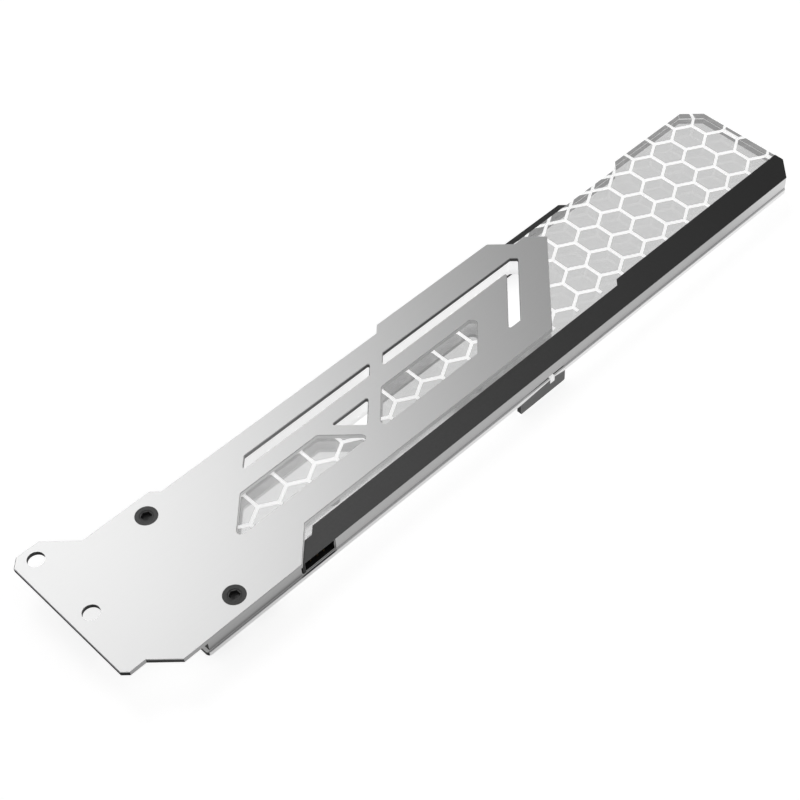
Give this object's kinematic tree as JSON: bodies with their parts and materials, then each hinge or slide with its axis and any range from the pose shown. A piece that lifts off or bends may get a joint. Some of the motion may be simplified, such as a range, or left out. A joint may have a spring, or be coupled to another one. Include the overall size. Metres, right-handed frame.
{
  "type": "graphics card support bracket",
  "caption": "Flat metal bracket with an edge-lit clear light guide; one end screws to case slots, and a folded shelf at its lower edge carries the card.",
  "frame": {"origin": "midway between the two slot screw holes, on the back face of the face plate", "axes": "+X from the slot end to the far end, +Y up when the bracket is mounted, +Z out of its front"},
  "size_m": [0.2292, 0.048, 0.01],
  "materials": {
    "face_sheet": "fine brushed, satin silver",
    "base_sheet": "fine brushed, satin silver",
    "spacer": "milled, satin",
    "small_steel": "zinc plated",
    "black_screws": "black oxide, satin",
    "black_bar": "black powder coat, satin",
    "clear_acrylic": "clear, polished faces, frosted engraving",
    "black_film": "matt black film",
    "reflector": "bright silver film",
    "board": "white solder mask",
    "tape": "double-sided tape",
    "led_body": "white, clear lens",
    "capacitor": "matt ceramic",
    "socket_black": "matt black nylon",
    "contacts": "bright",
    "pad": "soft, matt"
  },
  "bodies": {
    "root": {"face_plate": "face_sheet", "plate_studs": "small_steel", "plate_screws": "black_screws", "light_guide": "clear_acrylic", "led_mask": "black_film", "spacer_block": "spacer", "reflector_sheet": "reflector", "led_board": "board", "led_tape": "tape", "leds": "led_body", "led_capacitors": "capacitor", "socket_housing": "socket_black", "socket_pins": "contacts", "base_plate": "base_sheet", "card_pad": "pad", "stiffener_bar": "black_bar", "bar_rivets": "small_steel", "screw_nuts": "small_steel", "stud_washers": "small_steel", "stud_nuts": "small_steel", "guide_screws": "black_screws"}
  },
  "joints": []
}
